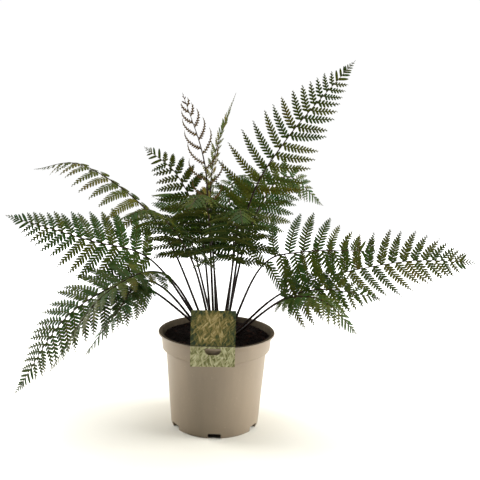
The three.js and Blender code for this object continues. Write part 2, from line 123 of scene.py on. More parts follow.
# Fronds
ROOT_Z = 146
STALK_SUNK = 7
STALK_RADIUS = 2.2
KNEE_RADIUS = 1.5
RACHIS_TIP_RADIUS = 0.3
SPINE_STEPS = 60
STALK_STEPS = 24
PINNA_SPACING = 16
CROWDING = 1.45
TAIL_SHARE = 0.92
LOBE_SPACING = 4.4
OPEN_ANGLE = 80
LEAN = 32
FULLNESS = 1.6
LOWEST_SHARE = 0.9
SWEEP = 0.16
CURL = 0.06
LEAFLET_SPACING = 5.2
LEAFLET_LENGTH = 11
LEAFLET_COVER = 0.95
SIDE_VEINS = 14
SHORTEST_DIVIDED = 20
SHORTEST_PINNA = 1.5
SHORT_PINNA = 30
SHORT_PINNA_SHARE = 0.8
TIP_CROWDING = 0.22
ROW_SHIFT = 0.35
TAIL_SLOPE = 0.34
LEAFLET_LEAN, TIP_LEAN = 68, 48
LEAFLET_FADE = ((0, 0.1, 0.45, 0.75, 0.88, 1), (0.85, 1, 0.95, 0.62, 0.34, 0.2))
RIB_HALF_WIDTHS = ((0, 0.5, 0.8, 0.93, 1), (1.0, 1.0, 0.9, 0.6, 0.08))
LEAFLET_KEYS = ("base", "direction", "forward", "normal", "length", "width", "tone")
YOUNG_HOOK = 0.5
YOUNG_DIVIDED = 9
TONE_SPREAD = 0.12
RUSTY_TONE = 0.22

# A spine runs from its root on the crown over the knee, where the leafy blade starts, and
# the bend to the tip. width is the longest pinna, roll turns the blade about its spine,
# sag is how far a pinna's end droops. tone goes from 0, fresh green, over 0.3, deep green,
# and 0.6, olive, to 1, bronze. Where given, gap is the way between pinnae, leaflet and
# spacing the length and spacing of their leaflets, cover how much of its room a leaflet
# fills, open the lowest pinnae's angle, full how long the width holds, and tail where the
# undivided tip starts. rusty lists the (pair, side) of pinnae that have turned brown.
# MIDDLE and BACK hold what the fronds in the middle and at the back of the tuft share.
MIDDLE = dict(width=74, roll=0, sag=0.45, gap=12, leaflet=9, cover=0.9)
BACK = dict(width=75, roll=0, sag=0.2, tone=0.3, gap=11, leaflet=10, cover=0.98)
FRONDS = [
    dict(root=(16, 8), knee=(45, 25, 350), bend=(105, 40, 465), tip=(212, 40, 595),
         width=80, roll=80, sag=0, tone=0.42, leaflet=8.5, spacing=5.6, cover=0.85,
         rusty=((1, -1),)),
    dict(root=(24, 0), knee=(120, 5, 226), bend=(280, -50, 284), tip=(386, -90, 293),
         width=75, roll=112, sag=0.05, full=2.6, open=88, tone=0.45, leaflet=9,
         spacing=5.2, cover=1, rusty=((5, 1), (9, -1))),
    dict(root=(-16, -2), knee=(-105, -15, 270), bend=(-205, -35, 305), tip=(-325, -40, 340),
         width=75, roll=-55, sag=0.1, tone=0.32, gap=13.5, cover=1.02),
    dict(root=(-14, 6), knee=(-100, 40, 320), bend=(-225, 66, 412), tip=(-315, 80, 404),
         width=75, roll=-8, sag=0.5, tone=0.5),
    dict(root=(-16, -10), knee=(-105, -50, 245), bend=(-210, -110, 210), tip=(-290, -130, 90),
         width=72, roll=-35, sag=0.1, tone=0.3, gap=13.5, cover=1.02),
    dict(root=(18, -10), knee=(65, -50, 270), bend=(125, -72, 300), tip=(240, -75, 305),
         width=86, roll=65, sag=0.1, open=92, tone=0.35, leaflet=11,
         spacing=5.2, cover=0.85, gap=17),
    dict(root=(-8, 6), knee=(-30, 40, 310), bend=(-70, 50, 400), tip=(-125, 35, 448),
         width=62, roll=-70, sag=0.25, tone=0.45, gap=15, leaflet=9),
    dict(root=(-4, -4), knee=(-18, -25, 360), bend=(-28, -35, 440), tip=(-60, -40, 530),
         width=38, roll=80, sag=0, tone=1.0, gap=20, leaflet=3.6,
         spacing=3.6, cover=0.9, full=2.2, tail=0.97, young=True),
    dict(root=(4, 14), knee=(-14, 50, 330), bend=(-12, 65, 430), tip=(22, 70, 540),
         width=56, roll=90, sag=0.1, tone=0.55, gap=13, tail=0.7, full=1),
    dict(root=(14, 20), knee=(52, 60, 315), bend=(112, 104, 402), tip=(186, 130, 350),
         width=66, roll=65, sag=0.1, tone=0.34, gap=12, cover=1),
    dict(root=(26, -8), knee=(100, -50, 220), bend=(160, -80, 245), tip=(245, -90, 235),
         width=58, roll=55, sag=0.1, tone=0.38, gap=13, cover=0.92),
    dict(root=(26, -12), knee=(95, -80, 225), bend=(150, -130, 240), tip=(200, -150, 195),
         width=52, roll=10, sag=0.2, tone=0.36, gap=9, cover=1),
    dict(root=(-15, -5), knee=(-85, -40, 255), bend=(-165, -118, 236), tip=(-240, -140, 124),
         width=60, roll=10, sag=0.3, tone=0.42, gap=12, cover=1),
    dict(root=(-10, -10), knee=(-110, -70, 240), bend=(-140, -150, 220), tip=(-180, -180, 165),
         width=50, roll=15, sag=0.3, tone=0.22, gap=11, cover=1),
    dict(root=(-6, -14), knee=(-40, -60, 280), bend=(-88, -140, 362), tip=(-130, -195, 358),
         tone=0.35, **MIDDLE),
    dict(root=(0, -14), knee=(-8, -70, 290), bend=(-22, -150, 385), tip=(-40, -218, 376),
         tone=0.4, **MIDDLE),
    dict(root=(8, -14), knee=(22, -70, 280), bend=(26, -140, 366), tip=(30, -200, 356),
         tone=0.35, **MIDDLE),
    dict(root=(14, 24), knee=(25, 70, 275), bend=(20, 140, 380), tip=(80, 200, 405), **BACK),
    dict(root=(-4, 20), knee=(-40, 70, 265), bend=(-75, 140, 355), tip=(-130, 200, 355), **BACK),
]


# Blender helpers

def linear(hex_colour):
    """An sRGB hex colour as the linear RGBA that Blender's sockets hold."""
    channels = [((hex_colour >> shift) & 255) / 255 for shift in (16, 8, 0)]
    return [c / 12.92 if c <= 0.04045 else ((c + 0.055) / 1.055) ** 2.4 for c in channels] + [1]


def per(millimetres):
    """How many times a pattern of this size goes into a metre, as a texture's scale is."""
    return 1 / (millimetres * MM)


def add(tree, kind, inputs=None, stops=None, **settings):
    """Adds a shader node with its settings. An input is a value, the output that feeds it,
    or the node whose first output does. stops are a ramp's (place, hex colour) pairs."""
    node = tree.nodes.new("ShaderNode" + kind)
    for name, value in settings.items():
        setattr(node, name, value)
    for socket, value in (inputs or {}).items():
        if isinstance(value, bpy.types.Node):
            value = next(output for output in value.outputs if output.enabled)
        if isinstance(value, bpy.types.NodeSocket):
            tree.links.new(value, node.inputs[socket])
        else:
            node.inputs[socket].default_value = value
    if stops:
        ramp = node.color_ramp.elements
        while len(ramp) < len(stops):
            ramp.new(1)
        for element, (place, colour) in zip(ramp, stops):
            element.position = place
            element.color = linear(colour)
    return node


def new_material(name):
    """An empty material, its node tree and the object's own coordinates in it."""
    material = bpy.data.materials.new(name)
    material.use_nodes = True
    tree = material.node_tree
    tree.nodes.clear()
    return material, tree, add(tree, "TexCoord").outputs["Object"]


def show(tree, shader_inputs):
    """Ends a material: its shader with these inputs, and the output."""
    shader = add(tree, "BsdfPrincipled", shader_inputs)
    add(tree, "OutputMaterial", {"Surface": shader})


def edit():
    bpy.ops.object.mode_set(mode="EDIT")


def leave_edit():
    bpy.ops.object.mode_set(mode="OBJECT")


def select_mesh():
    bpy.ops.mesh.select_all(action="SELECT")


def deselect():
    if bpy.context.object and bpy.context.object.mode != "OBJECT":
        leave_edit()
    bpy.ops.object.select_all(action="DESELECT")


def activate(piece):
    deselect()
    piece.select_set(True)
    bpy.context.view_layer.objects.active = piece


def pick(piece, wanted, kind="verts"):
    """In edit mode, selects just the parts of the mesh that are wanted."""
    bpy.ops.mesh.select_mode(type={"verts": "VERT", "edges": "EDGE", "faces": "FACE"}[kind])
    bpy.ops.mesh.select_all(action="DESELECT")
    shape = bmesh.from_edit_mesh(piece.data)
    for part in getattr(shape, kind):
        part.select_set(bool(wanted(part)))
    shape.select_flush_mode()
    bmesh.update_edit_mesh(piece.data)


def tidy_shell(piece, merge=1e-6):
    """Merges a shell's doubles, unless merge is 0, and turns its faces outwards."""
    activate(piece)
    edit()
    select_mesh()
    if merge:
        bpy.ops.mesh.remove_doubles(threshold=merge)
    bpy.ops.mesh.normals_make_consistent(inside=False)
    leave_edit()


def stretch(x, y, z):
    """Scales what is selected about the origin."""
    bpy.ops.transform.resize(value=(x, y, z), center_override=(0, 0, 0))


def fit(piece, size, place=(0, 0, 0)):
    """Scales a unit mesh to a size and moves it to a place, both in millimetres."""
    grown = Matrix.Diagonal((*(Vector(size) * MM), 1))
    piece.data.transform(Matrix.Translation(Vector(place) * MM) @ grown)


def new_object(name, data):
    piece = bpy.data.objects.new(name, data)
    bpy.context.collection.objects.link(piece)
    return piece


def smooth(piece, degrees):
    activate(piece)
    bpy.ops.object.shade_smooth_by_angle(angle=math.radians(degrees))


def apply_modifiers(piece):
    activate(piece)
    for modifier in list(piece.modifiers):
        bpy.ops.object.modifier_apply(modifier=modifier.name)


def spin_outline(name, outline, steps):
    """Spins an outline of (radius, height) points in millimetres about the upright axis."""
    mesh = bpy.data.meshes.new(name)
    points = [(radius * MM, 0, z * MM) for radius, z in outline]
    mesh.from_pydata(points, [(i, i + 1) for i in range(len(points) - 1)], [])
    piece = new_object(name, mesh)
    activate(piece)
    edit()
    select_mesh()
    bpy.ops.mesh.spin(steps=steps, angle=2 * math.pi, center=(0, 0, 0), axis=(0, 0, 1))
    tidy_shell(piece)
    return piece


def from_arrays(name, points, faces):
    """A piece from points in millimetres and its faces, as a list or an array."""
    mesh = bpy.data.meshes.new(name)
    mesh.from_pydata((np.asarray(points) * MM).tolist(), [], [tuple(face) for face in faces])
    return new_object(name, mesh)


def arc(centre, radius, start, end, count):
    """Points of an arc in an outline, between two angles in degrees."""
    angles = np.radians(np.linspace(start, end, count))
    return [(centre[0] + radius * math.cos(a), centre[1] + radius * math.sin(a)) for a in angles]


def dress(piece, material, slot, *nodes):
    """Gives a piece its material, its body and the CAD nodes that it stands for; its slot is not
    used.
    """
    piece.data.materials.clear()
    piece.data.materials.append(material)
    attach(piece, "root")
    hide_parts(*nodes)


# Materials

def moulded_polypropylene():
    """Injection-moulded recycled polypropylene: a satin taupe with faint flow marks and
    dusty scuffs, which catches a soft highlight."""
    material, tree, place = new_material("moulded_polypropylene")
    flow = add(tree, "Mapping", {"Vector": place, "Scale": (1, 1, 0.25)})
    cloud = add(tree, "TexNoise",
                {"Vector": flow, "Scale": per(35.7), "Detail": 5, "Roughness": 0.6})
    base = add(tree, "ValToRGB", {"Fac": cloud}, [(0.3, 0x837562), (0.7, 0x8E7F6B)])
    # Scuffs: sparse pale rubs a few millimetres long
    rubs = add(tree, "TexNoise",
               {"Vector": place, "Scale": per(4.545), "Detail": 3, "Roughness": 0.75})
    spots = add(tree, "MapRange",
                {"Value": rubs, "From Min": 0.62, "From Max": 0.78, "To Max": 0.35})
    worn = add(tree, "Mix", {"Factor": spots, "A": base, "B": linear(0xB0A28C)}, data_type="RGBA")
    gloss = add(tree, "MapRange", {"Value": cloud, "To Min": 0.38, "To Max": 0.55})
    grain = add(tree, "TexNoise", {"Vector": place, "Scale": per(1.111), "Detail": 2})
    bump = add(tree, "Bump", {"Height": grain, "Strength": 0.15, "Distance": 0.2 * MM})
    show(tree, {"Base Color": worn, "Roughness": gloss, "Normal": bump, "IOR": 1.49})
    return material


def painted_shade_inside(outside):
    """The same plastic inside the pot and on the lip's top, made matt and painted near-black in
    faint blotches: painted shade.
    """
    material = outside.copy()
    material.name = "painted_shade_polypropylene"
    tree = material.node_tree
    shader = next(node for node in tree.nodes if node.type == "BSDF_PRINCIPLED")
    clean = shader.inputs["Base Color"].links[0].from_socket
    tree.links.remove(shader.inputs["Roughness"].links[0])
    shader.inputs["Roughness"].default_value = 0.95
    shader.inputs["Specular IOR Level"].default_value = 0.05
    place = add(tree, "TexCoord").outputs["Object"]
    # Painted shade: a near-black laid over the plastic, a little blotchy
    film = add(tree, "TexNoise",
               {"Vector": place, "Scale": per(8.333), "Detail": 5, "Roughness": 0.65})
    cover = add(tree, "MapRange",
                {"Value": film, "From Min": 0.3, "From Max": 0.7, "To Min": 0.98, "To Max": 0.85})
    add_to = add(tree, "Mix",
                 {"Factor": cover, "A": clean, "B": linear(0x302A20)}, data_type="RGBA")
    tree.links.new(add_to.outputs["Result"], shader.inputs["Base Color"])
    return material


def peat_compost():
    """Damp peat compost: near-black crumbs with reddish bark, quite matt."""
    material, tree, place = new_material("peat_compost")
    crumbs = add(tree, "TexVoronoi", {"Vector": place, "Scale": per(3.846)})
    cloud = add(tree, "TexNoise",
                {"Vector": place, "Scale": per(11.11), "Detail": 6, "Roughness": 0.7})
    shade = add(tree, "ValToRGB", {"Fac": cloud},
                [(0.3, 0x040201), (0.55, 0x0C0604), (0.72, 0x3A1C0E)])
    dark = add(tree, "Mix", {"Factor": crumbs, "A": linear(0x080402), "B": shade}, data_type="RGBA")
    grain = add(tree, "TexNoise", {"Vector": place, "Scale": per(2), "Detail": 4})
    bump = add(tree, "Bump", {"Height": grain, "Strength": 0.6, "Distance": 0.8 * MM})
    show(tree, {"Base Color": dark, "Roughness": 0.95, "Specular IOR Level": 0.05, "Normal": bump})
    return material


def printed_card():
    """Offset-printed plastic card with a satin film: above its hinge a leafy mottle in
    olive and brown, and below it a pale panel with faint streaks."""
    material, tree, place = new_material("printed_card")
    parts = add(tree, "SeparateXYZ", {"Vector": place})
    # Leaf-like strokes, 4 mm wide and 13 mm long, lie on two slants
    strokes = []
    for turn in (0.8, -0.25):
        slant = add(tree, "Mapping",
                    {"Vector": place, "Rotation": (0, turn, 0), "Scale": (1, 1, 3.5)},
                    vector_type="TEXTURE")
        strokes.append(add(tree, "TexNoise",
                           {"Vector": slant, "Scale": per(3.846), "Detail": 3,
                            "Roughness": 0.55, "Distortion": 0.7}))
    crossed = add(tree, "Math", {0: strokes[0], 1: strokes[1]}, operation="MAXIMUM")
    # The upper panel darkens to green towards its corners
    middle_z = (LABEL_TOP_Z + HINGE_Z) / 2
    reach = 0.5 * LABEL_WIDTH * MM
    centred = add(tree, "Mapping",
                  {"Vector": place, "Location": (-LABEL_X * MM / reach, 0, -middle_z * MM / reach),
                   "Scale": (1 / reach, 0, 1 / reach)})
    off_middle = add(tree, "VectorMath", {0: centred}, operation="LENGTH")
    corner = add(tree, "MapRange",
                 {"Value": off_middle, "From Min": 0.55, "From Max": 1.25, "To Max": -0.16})
    leafiness = add(tree, "Math", {0: crossed, 1: corner}, operation="ADD")
    leafy = add(tree, "ValToRGB", {"Fac": leafiness},
                [(0.34, 0x16280E), (0.44, 0x3C4218), (0.52, 0x625A28), (0.58, 0x827240),
                 (0.68, 0xAE9F6C)])
    pale = add(tree, "ValToRGB", {"Fac": crossed},
               [(0.44, 0x5C5E34), (0.52, 0x86845A), (0.58, 0xA09E74), (0.66, 0xBCB994)])
    above = add(tree, "Math", {0: parts.outputs["Z"], 1: HINGE_Z * MM}, operation="GREATER_THAN")
    panel = add(tree, "Mix", {"Factor": above, "A": pale, "B": leafy}, data_type="RGBA")
    fold = add(tree, "Math",
               {0: parts.outputs["Z"], 1: HINGE_Z * MM, 2: FOLD_WIDTH * MM}, operation="COMPARE")
    print_colour = add(tree, "Mix",
                       {"Factor": fold, "A": panel, "B": linear(0x3A3320)}, data_type="RGBA")
    show(tree, {"Base Color": print_colour, "Roughness": 0.5, "IOR": 1.45,
                "Specular IOR Level": 0.25})
    return material


def scaly_stalk():
    """A fern's wiry stalk: dark brown with paler flecks of chaff, turning olive
    brown where it carries leaf."""
    material, tree, place = new_material("scaly_stalk")
    share = add(tree, "Attribute", attribute_name="share")
    ground = add(tree, "ValToRGB", {"Fac": share.outputs["Fac"]},
                 [(0.0, 0x0C0503), (0.3, 0x120905), (0.5, 0x1E130A), (0.8, 0x302512),
                  (1.0, 0x3A321A)])
    flecks = add(tree, "TexNoise",
                 {"Vector": place, "Scale": per(2.381), "Detail": 3, "Roughness": 0.7})
    chaff = add(tree, "MapRange",
                {"Value": flecks, "From Min": 0.55, "From Max": 0.75, "To Max": 0.5})
    colour = add(tree, "Mix",
                 {"Factor": chaff, "A": ground, "B": linear(0x4A2F1C)}, data_type="RGBA")
    bump = add(tree, "Bump", {"Height": flecks, "Strength": 0.4, "Distance": 0.3 * MM})
    show(tree, {"Base Color": colour, "Roughness": 0.5, "Specular IOR Level": 0.1, "Normal": bump})
    return material


def fern_leaf(name):
    """Leathery fern leaf with a thin waxy shine: one ramp from fresh green to bronze, an olive rib
    down each leaflet, faint side veins, and a rougher underside painted darker as shade."""
    material, tree, place = new_material(name)
    tone = add(tree, "Attribute", attribute_name="tone")
    under = add(tree, "Attribute", attribute_name="under")
    rib = add(tree, "Attribute", attribute_name="rib")
    leaf_map = add(tree, "UVMap", uv_map="leaflet")
    cloud = add(tree, "TexNoise",
                {"Vector": place, "Scale": per(16.67), "Detail": 4, "Roughness": 0.6})
    drift = add(tree, "MapRange",
                {"Value": cloud, "From Min": 0.25, "From Max": 0.75,
                 "To Min": -0.12, "To Max": 0.12})
    toned = add(tree, "Math", {0: tone.outputs["Fac"], 1: drift}, operation="ADD")
    upper = add(tree, "ValToRGB", {"Fac": toned},
                [(0.0, 0x2E661E), (0.2, 0x1C3C0E), (0.4, 0x2A3C08), (0.6, 0x484A0C),
                 (0.8, 0x5E4A16), (1.0, 0x64402E)])
    # Painted shade: undersides are mixed towards near-black
    painted_shade_under = add(tree, "Mix", {"Factor": 0.6, "A": upper, "B": linear(0x0F1808)}, data_type="RGBA")
    faced = add(tree, "Mix",
                {"Factor": under.outputs["Fac"], "A": upper, "B": painted_shade_under}, data_type="RGBA")
    # Side veins leave the leaflet's own rib at a slant
    split = add(tree, "SeparateXYZ", {"Vector": leaf_map})
    off = add(tree, "Math", {0: split.outputs["Y"]}, operation="ABSOLUTE")
    slant = add(tree, "Math", {0: off, 1: -0.12, 2: split.outputs["X"]}, operation="MULTIPLY_ADD")
    waves = add(tree, "Math", {0: slant, 1: 2 * math.pi * SIDE_VEINS}, operation="MULTIPLY")
    veins = add(tree, "Math", {0: waves}, operation="SINE")
    midrib = add(tree, "MapRange",
                 {"Value": off, "From Min": 0.04, "From Max": 0.14, "To Min": 0.45, "To Max": 0})
    ribbed = add(tree, "Math", {0: midrib, 1: rib.outputs["Fac"]}, operation="MAXIMUM")
    colour = add(tree, "Mix",
                 {"Factor": ribbed, "A": faced, "B": linear(0x3C3A0C)}, data_type="RGBA")
    gloss = add(tree, "MapRange", {"Value": under.outputs["Fac"], "To Min": 0.5, "To Max": 0.8})
    bump = add(tree, "Bump", {"Height": veins, "Strength": 0.25, "Distance": 0.2 * MM})
    show(tree, {"Base Color": colour, "Roughness": gloss,
                "Normal": bump, "IOR": 1.4, "Specular IOR Level": 0.12})
    return material


def chaffy_crown():
    """The rhizome's top: matted rust-brown scales over dark old stalk bases."""
    material, tree, place = new_material("chaffy_crown")
    mat = add(tree, "TexNoise",
              {"Vector": place, "Scale": per(4.167), "Detail": 5, "Roughness": 0.7})
    colour = add(tree, "ValToRGB", {"Fac": mat},
                 [(0.3, 0x120905), (0.5, 0x2A170C), (0.7, 0x50301A)])
    bump = add(tree, "Bump", {"Height": mat, "Strength": 0.6, "Distance": 0.6 * MM})
    show(tree, {"Base Color": colour, "Roughness": 0.8, "Specular IOR Level": 0.15, "Normal": bump})
    return material


def studio_paper():
    """Matt cream floor, painted darker round the pot as shade and whiter with distance as light,
    and glowing beyond 0.9 m so that no horizon shows."""
    material, tree, place = new_material("studio_paper")
    away = add(tree, "VectorMath", {0: place}, operation="LENGTH")
    fade = add(tree, "MapRange", {"Value": away, "From Min": 0.1, "From Max": 1.2})
    # Painted shade near the pot, painted light further out
    colour = add(tree, "ValToRGB", {"Fac": fade},
                 [(0.0, 0xDAD7CB), (0.35, 0xF2F1EA), (0.8, 0xFFFFFF)])
    glow = add(tree, "MapRange", {"Value": away, "From Min": 0.9, "From Max": 1.7})
    show(tree, {"Base Color": colour, "Roughness": 0.8,
                "Emission Color": (1, 1, 1, 1), "Emission Strength": glow})
    return material


# Pot, compost and label

def make_pot():
    """The pot's whole outline is spun, its drain slots are cut by a ring of rounded blocks,
    and its edges are eased."""
    wall_inner = BODY_TOP_RADIUS - WALL
    floor_top = FOOT_RECESS + FLOOR_THICKNESS
    ring_inner = FOOT_RADIUS - FOOT_RING_WIDTH
    rim_bottom = POT_HEIGHT - RIM_THICKNESS
    outline = [
        (0, 0), (FOOT_PAD_RADIUS, 0), (FOOT_PAD_RADIUS + FOOT_RECESS, FOOT_RECESS),
        (ring_inner, FOOT_RECESS), (ring_inner, 0), (FOOT_RADIUS - 0.6, 0),
        (FOOT_RADIUS, 1.2),
        *[(FOOT_RADIUS + (BODY_TOP_RADIUS - FOOT_RADIUS) * z / BODY_TOP_Z, z)
          for z in (9, 14, 40, 70, 100, 118)],
        (BODY_TOP_RADIUS - 0.1, 123.6),
        *arc((BODY_TOP_RADIUS + 1.9, 123.6), 2.2, 160, 100, 4),
        (BODY_TOP_RADIUS + 4.5, BODY_TOP_Z + 0.4),
        *arc((BAND_BOTTOM_RADIUS - 1.8, BAND_BOTTOM_Z + 0.6), 1.8, -80, 0, 5),
        (BAND_TOP_RADIUS - 0.4, 142),
        (BAND_TOP_RADIUS, rim_bottom - 1.2),
        (BAND_TOP_RADIUS + 0.6, rim_bottom - 0.2),
        (RIM_RADIUS - 1, rim_bottom - 0.1),
        *arc((RIM_RADIUS - 0.9, rim_bottom + 0.9), 0.9, -80, 0, 4),
        *arc((RIM_RADIUS - 1.1, POT_HEIGHT - 1.1), 1.1, 0, 90, 4),
        (BAND_TOP_RADIUS - 0.4, POT_HEIGHT - 0.1),
        (BAND_TOP_RADIUS - WALL, POT_HEIGHT - 1.4),
        (BAND_BOTTOM_RADIUS - WALL + 0.4, 134),
        (BAND_BOTTOM_RADIUS - WALL, BAND_BOTTOM_Z + WALL + 0.8),
        (BAND_BOTTOM_RADIUS - WALL - 1, BAND_BOTTOM_Z + WALL),
        (wall_inner + 0.8, BODY_TOP_Z + WALL), (wall_inner, BODY_TOP_Z + WALL - 1),
        (FOOT_RADIUS - WALL, floor_top), (0, floor_top),
    ]
    pot = spin_outline("nursery_pot", outline, POT_STEPS)

    deselect()
    blocks = []
    for k in range(SLOT_COUNT):
        angle = (k + 0.5) * 2 * math.pi / SLOT_COUNT
        bpy.ops.mesh.primitive_cube_add(size=1, location=(0, 0, 0))
        block = bpy.context.object
        depth = 2 * (FOOT_RING_WIDTH + 1)
        fit(block, (depth, SLOT_WIDTH, 2 * SLOT_HEIGHT))
        edit()
        pick(block, lambda e: abs(e.verts[0].co.x - e.verts[1].co.x) > 0.5 * depth * MM, "edges")
        bpy.ops.mesh.bevel(offset=SLOT_CORNER * MM, segments=4)
        leave_edit()
        block.data.transform(Matrix.Translation((FOOT_RADIUS * MM, 0, 0)))
        block.data.transform(Matrix.Rotation(angle, 4, "Z"))
        blocks.append(block)
    cutter = join("slot_blocks", blocks)
    cut = pot.modifiers.new("slots", "BOOLEAN")
    cut.object = cutter
    cut.solver = "EXACT"
    ease = pot.modifiers.new("eased_edges", "BEVEL")
    ease.width = EASED_EDGE * MM
    ease.segments = 2
    ease.limit_method = "ANGLE"
    ease.angle_limit = math.radians(50)
    apply_modifiers(pot)
    bpy.data.objects.remove(cutter)
    smooth(pot, 40)
    return pot


def paint_shade_inside(pot):
    """Gives the painted-shade copy of the plastic to the lip's top and to the faces that look in to
    the axis.
    """
    pot.data.materials.append(painted_shade_inside(pot.data.materials[0]))
    for face in pot.data.polygons:
        outward = Vector((face.center.x, face.center.y, 0)).normalized()
        reach = math.hypot(face.center.x, face.center.y)
        # The lip's outer edge stays out of the painted shade and shows as a painted highlight
        on_lip = (face.normal.z > 0.7 and face.center.z > (POT_HEIGHT - 1) * MM
                  and reach < (RIM_RADIUS - HIGHLIGHT_EDGE) * MM)
        if face.normal.dot(outward) < -0.3 or on_lip:
            face.material_index = 1


def join(name, pieces):
    deselect()
    for piece in pieces:
        piece.select_set(True)
    bpy.context.view_layer.objects.active = pieces[0]
    bpy.ops.object.join()
    pieces[0].name = name
    pieces[0].data.name = name
    return pieces[0]


def copies(master, places):
    """Copies of a master's mesh as one pair of arrays: each place is a 4x4 in millimetres."""
    count = len(master.data.vertices)
    points = np.empty(count * 3)
    master.data.vertices.foreach_get("co", points)
    points = np.c_[points.reshape(-1, 3), np.ones(count)]
    faces = [list(face.vertices) for face in master.data.polygons]
    all_points = [points @ np.array(place).T[:, :3] for place in places]
    all_faces = [[v + i * count for v in face] for i in range(len(places)) for face in faces]
    return np.concatenate(all_points), all_faces


def soil_height(x, y):
    """The compost's top at a place, in millimetres: low heaps and fine crumb."""
    place = Vector((x / HEAP_SPAN, y / HEAP_SPAN, 0.4))
    return (SOIL_TOP + HEAP_RISE * noise.noise(place)
            + CRUMB_RISE * noise.noise(place * CRUMB_SHARE))


def make_compost():
    """A spun plug that fills the pot, its top heaved by noise, with crumbs, bark and
    fibres lying in it."""
    inner = BAND_BOTTOM_RADIUS - WALL - SOIL_CLEAR
    wall_inner = BODY_TOP_RADIUS - WALL - SOIL_CLEAR
    bottom = FOOT_RECESS + FLOOR_THICKNESS + SOIL_CLEAR
    outline = [
        (0, bottom), (FOOT_RADIUS - WALL - SOIL_CLEAR, bottom),
        (wall_inner, BODY_TOP_Z + WALL + SOIL_CLEAR), (inner, BAND_BOTTOM_Z + WALL + SOIL_CLEAR),
        (inner, SOIL_TOP - 3), *[(radius, SOIL_TOP) for radius in np.linspace(inner - 2, 0, 46)],
    ]
    plug = spin_outline("plug", outline, SOIL_STEPS)
    for vertex in plug.data.vertices:
        x, y = vertex.co.x / MM, vertex.co.y / MM
        if vertex.co.z > (SOIL_TOP - 0.5) * MM:
            vertex.co.z = soil_height(x, y) * MM

    bpy.ops.mesh.primitive_ico_sphere_add(subdivisions=1, radius=1)
    crumb = bpy.context.object
    bpy.ops.mesh.primitive_cube_add(size=2)
    chip = bpy.context.object
    edit()
    pick(chip, lambda e: abs(e.verts[0].co.z - e.verts[1].co.z) > 1, "edges")
    bpy.ops.mesh.bevel(offset=0.7, segments=1)
    leave_edit()

    def scatter(master, count, size_of):
        places = []
        while len(places) < count:
            radius = (inner - 3) * math.sqrt(random.random())
            angle = random.uniform(0, 2 * math.pi)
            x, y = radius * math.cos(angle), radius * math.sin(angle)
            if math.hypot(x - CROWN_PLACE[0], y - CROWN_PLACE[1]) < CROWN_RADIUS - 3:
                continue
            size = Vector(size_of())
            turn = Matrix.Rotation(random.uniform(0, 6.28), 4, "Z")
            tilt = Matrix.Rotation(random.uniform(-0.4, 0.4), 4, "X")
            height = soil_height(x, y) + size.z * 0.3
            places.append(Matrix.Translation((x, y, height)) @ turn @ tilt
                          @ Matrix.Diagonal((*size, 1)))
        return from_arrays("scatter", *copies(master, places))

    def crumb_size():
        size = random.uniform(0.5, 2.1)
        return size * random.uniform(0.8, 1.4), size, size * random.uniform(0.5, 0.9)

    def chip_size():
        return random.uniform(1.5, 4.2), random.uniform(0.8, 1.8), random.uniform(0.3, 0.6)

    def fibre_size():
        return random.uniform(4, 9), 0.22, 0.22

    loose = [scatter(crumb, CRUMBS, crumb_size), scatter(chip, CHIPS, chip_size),
             scatter(chip, FIBRES, fibre_size)]
    bpy.data.objects.remove(crumb)
    bpy.data.objects.remove(chip)
    compost = join("compost", [plug, *loose])
    smooth(compost, 40)
    return compost


